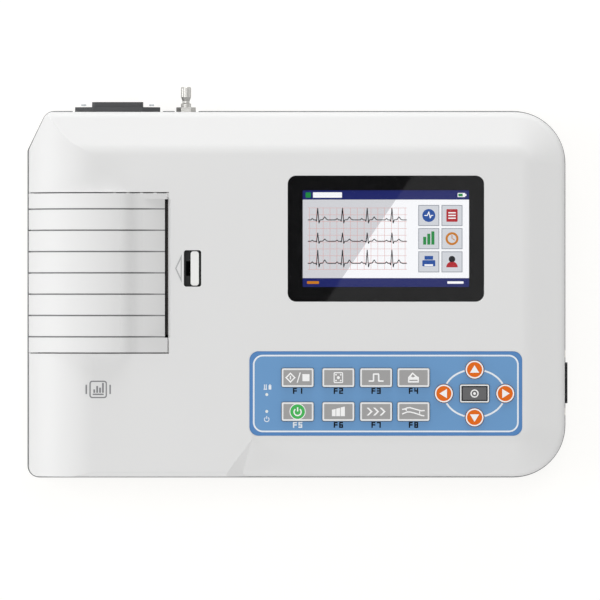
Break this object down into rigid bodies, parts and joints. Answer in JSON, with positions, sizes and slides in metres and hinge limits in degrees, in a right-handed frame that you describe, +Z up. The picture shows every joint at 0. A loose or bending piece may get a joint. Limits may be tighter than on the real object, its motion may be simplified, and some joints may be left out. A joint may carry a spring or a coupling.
{
  "type": "electrocardiograph",
  "caption": "Portable bench electrocardiograph: hinged paper door over a geared thermal printer, colour display, blue keypad with orange arrow keys, mains inlet and lead socket.",
  "frame": {"origin": "on the table under the middle of the whole object's outline, earth stud and lead socket included", "axes": "+X to the user's right, +Y to the rear, +Z up; the feet stand on z = 0"},
  "size_m": [0.317, 0.229, 0.077],
  "materials": {
    "case_plastic": "fine satin moulding, warm off-white",
    "rubber": "matt moulded rubber",
    "steel": "zinc-plated steel",
    "nickel": "nickel plate",
    "aluminium": "satin extruded aluminium",
    "window": "clear gloss plate with a black printed border",
    "lcd": "lit display panel",
    "panel_film": "fine-textured printed film, blue",
    "grey_keys": "grey moulded keys",
    "orange_keys": "orange moulded keys",
    "centre_key": "dark grey moulded key",
    "silicone": "translucent silicone",
    "clear": "clear light guides",
    "pcb": "green solder mask",
    "chips": "black epoxy packages",
    "power_parts": "wound transformer and capacitors",
    "black_plastic": "black moulded plastic",
    "battery_wrap": "blue shrink wrap",
    "copper_film": "flat flexible cable",
    "grey_plastic": "grey moulded plastic",
    "gear_plastic": "natural acetal",
    "brass": "turned brass",
    "ceramic": "glazed alumina head",
    "white_plastic": "white moulded plastic"
  },
  "bodies": {
    "case": {"top_cover": "case_plastic", "bottom_cover": "case_plastic", "rubber_feet": "rubber", "case_screws": "steel", "m3_screws": "steel", "battery_cover": "case_plastic", "battery_pack": "battery_wrap", "screen_window": "window", "lcd_panel": "lcd", "display_bracket": "steel", "display_ribbon": "copper_film", "keypad_panel": "panel_film", "indicator_lenses": "clear", "keypad_mat": "silicone", "keypad_board": "pcb", "main_board": "pcb", "main_board_chips": "chips", "power_board": "pcb", "power_board_parts": "power_parts", "speaker": "black_plastic", "mains_inlet": "black_plastic", "inlet_pins": "nickel", "earth_stud": "nickel", "earth_nut": "nickel", "lead_socket_shell": "nickel", "lead_socket_insert": "black_plastic", "lead_screw_posts": "nickel", "usb_socket": "nickel", "paper_tub": "grey_plastic", "hinge_pin": "steel", "stepper_motor": "steel", "printer_frame": "steel", "head_pivot_pin": "steel", "head_springs": "steel", "release_recess": "black_plastic", "release_spring": "steel"},
    "door": {"paper_door": "case_plastic", "platen_bushes": "brass"},
    "platen": {"platen_roller": "rubber", "platen_shaft": "steel", "platen_gear": "gear_plastic"},
    "idler": {"idler_gear": "gear_plastic"},
    "motor_rotor": {"motor_pinion": "brass"},
    "print_head": {"print_head": "ceramic", "head_heatsink": "aluminium"},
    "spindle": {"paper_spindle": "gear_plastic"},
    "release": {"release_slide": "white_plastic"},
    "key_start": {"key_start": "grey_keys"},
    "key_mode": {"key_mode": "grey_keys"},
    "key_calibrate": {"key_calibrate": "grey_keys"},
    "key_print": {"key_print": "grey_keys"},
    "key_power": {"key_power": "grey_keys"},
    "key_gain": {"key_gain": "grey_keys"},
    "key_speed": {"key_speed": "grey_keys"},
    "key_filter": {"key_filter": "grey_keys"},
    "key_up": {"key_up": "orange_keys"},
    "key_down": {"key_down": "orange_keys"},
    "key_left": {"key_left": "orange_keys"},
    "key_right": {"key_right": "orange_keys"},
    "key_centre": {"key_centre": "centre_key"}
  },
  "joints": [
    {"name": "door_hinge", "type": "hinge", "parent": "case", "child": "door", "pos_m": [-0.15315, 0.005, 0.038], "axis": [0, -1, 0], "range_deg": [0, 95]},
    {"name": "platen_spin", "type": "hinge", "parent": "door", "child": "platen", "pos_m": [-0.0827, 0.0076, 0.0605], "axis": [0, 1, 0], "continuous": true},
    {"name": "idler_spin", "type": "hinge", "parent": "case", "child": "idler", "pos_m": [-0.07998, -0.0331, 0.05036], "axis": [0, 1, 0], "continuous": true},
    {"name": "motor_spin", "type": "hinge", "parent": "case", "child": "motor_rotor", "pos_m": [-0.07428, -0.0331, 0.03812], "axis": [0, 1, 0], "continuous": true},
    {"name": "head_pivot", "type": "hinge", "parent": "case", "child": "print_head", "pos_m": [-0.07415, 0.0076, 0.051], "axis": [0, 1, 0], "range_deg": [0, 2.5], "stiffness_Nm_per_rad": 0.25, "springref_deg": -5.73, "deforming": ["head_springs"]},
    {"name": "spindle_spin", "type": "hinge", "parent": "case", "child": "spindle", "pos_m": [-0.11849, 0.0076, 0.038], "axis": [0, 1, 0], "continuous": true},
    {"name": "release_travel", "type": "slide", "parent": "case", "child": "release", "axis": [-1, 0, 0], "range_m": [0, 0.0033], "stiffness_N_per_m": 300, "springref_m": -0.002, "deforming": ["release_spring"]},
    {"name": "key_start_press", "type": "slide", "parent": "case", "child": "key_start", "axis": [0, 0, -1], "range_m": [0, 0.0008], "stiffness_N_per_m": 400, "springref_m": -0.001, "deforming": ["keypad_mat"]},
    {"name": "key_mode_press", "type": "slide", "parent": "case", "child": "key_mode", "axis": [0, 0, -1], "range_m": [0, 0.0008], "stiffness_N_per_m": 400, "springref_m": -0.001, "deforming": ["keypad_mat"]},
    {"name": "key_calibrate_press", "type": "slide", "parent": "case", "child": "key_calibrate", "axis": [0, 0, -1], "range_m": [0, 0.0008], "stiffness_N_per_m": 400, "springref_m": -0.001, "deforming": ["keypad_mat"]},
    {"name": "key_print_press", "type": "slide", "parent": "case", "child": "key_print", "axis": [0, 0, -1], "range_m": [0, 0.0008], "stiffness_N_per_m": 400, "springref_m": -0.001, "deforming": ["keypad_mat"]},
    {"name": "key_power_press", "type": "slide", "parent": "case", "child": "key_power", "axis": [0, 0, -1], "range_m": [0, 0.0008], "stiffness_N_per_m": 400, "springref_m": -0.001, "deforming": ["keypad_mat"]},
    {"name": "key_gain_press", "type": "slide", "parent": "case", "child": "key_gain", "axis": [0, 0, -1], "range_m": [0, 0.0008], "stiffness_N_per_m": 400, "springref_m": -0.001, "deforming": ["keypad_mat"]},
    {"name": "key_speed_press", "type": "slide", "parent": "case", "child": "key_speed", "axis": [0, 0, -1], "range_m": [0, 0.0008], "stiffness_N_per_m": 400, "springref_m": -0.001, "deforming": ["keypad_mat"]},
    {"name": "key_filter_press", "type": "slide", "parent": "case", "child": "key_filter", "axis": [0, 0, -1], "range_m": [0, 0.0008], "stiffness_N_per_m": 400, "springref_m": -0.001, "deforming": ["keypad_mat"]},
    {"name": "key_up_press", "type": "slide", "parent": "case", "child": "key_up", "axis": [0, 0, -1], "range_m": [0, 0.0008], "stiffness_N_per_m": 400, "springref_m": -0.001, "deforming": ["keypad_mat"]},
    {"name": "key_down_press", "type": "slide", "parent": "case", "child": "key_down", "axis": [0, 0, -1], "range_m": [0, 0.0008], "stiffness_N_per_m": 400, "springref_m": -0.001, "deforming": ["keypad_mat"]},
    {"name": "key_left_press", "type": "slide", "parent": "case", "child": "key_left", "axis": [0, 0, -1], "range_m": [0, 0.0008], "stiffness_N_per_m": 400, "springref_m": -0.001, "deforming": ["keypad_mat"]},
    {"name": "key_right_press", "type": "slide", "parent": "case", "child": "key_right", "axis": [0, 0, -1], "range_m": [0, 0.0008], "stiffness_N_per_m": 400, "springref_m": -0.001, "deforming": ["keypad_mat"]},
    {"name": "key_centre_press", "type": "slide", "parent": "case", "child": "key_centre", "axis": [0, 0, -1], "range_m": [0, 0.0008], "stiffness_N_per_m": 400, "springref_m": -0.001, "deforming": ["keypad_mat"]}
  ],
  "couplings": [
    {"joint": "idler_spin", "follows": "platen_spin", "ratio": -1.3333},
    {"joint": "motor_spin", "follows": "platen_spin", "ratio": 3.8095}
  ]
}
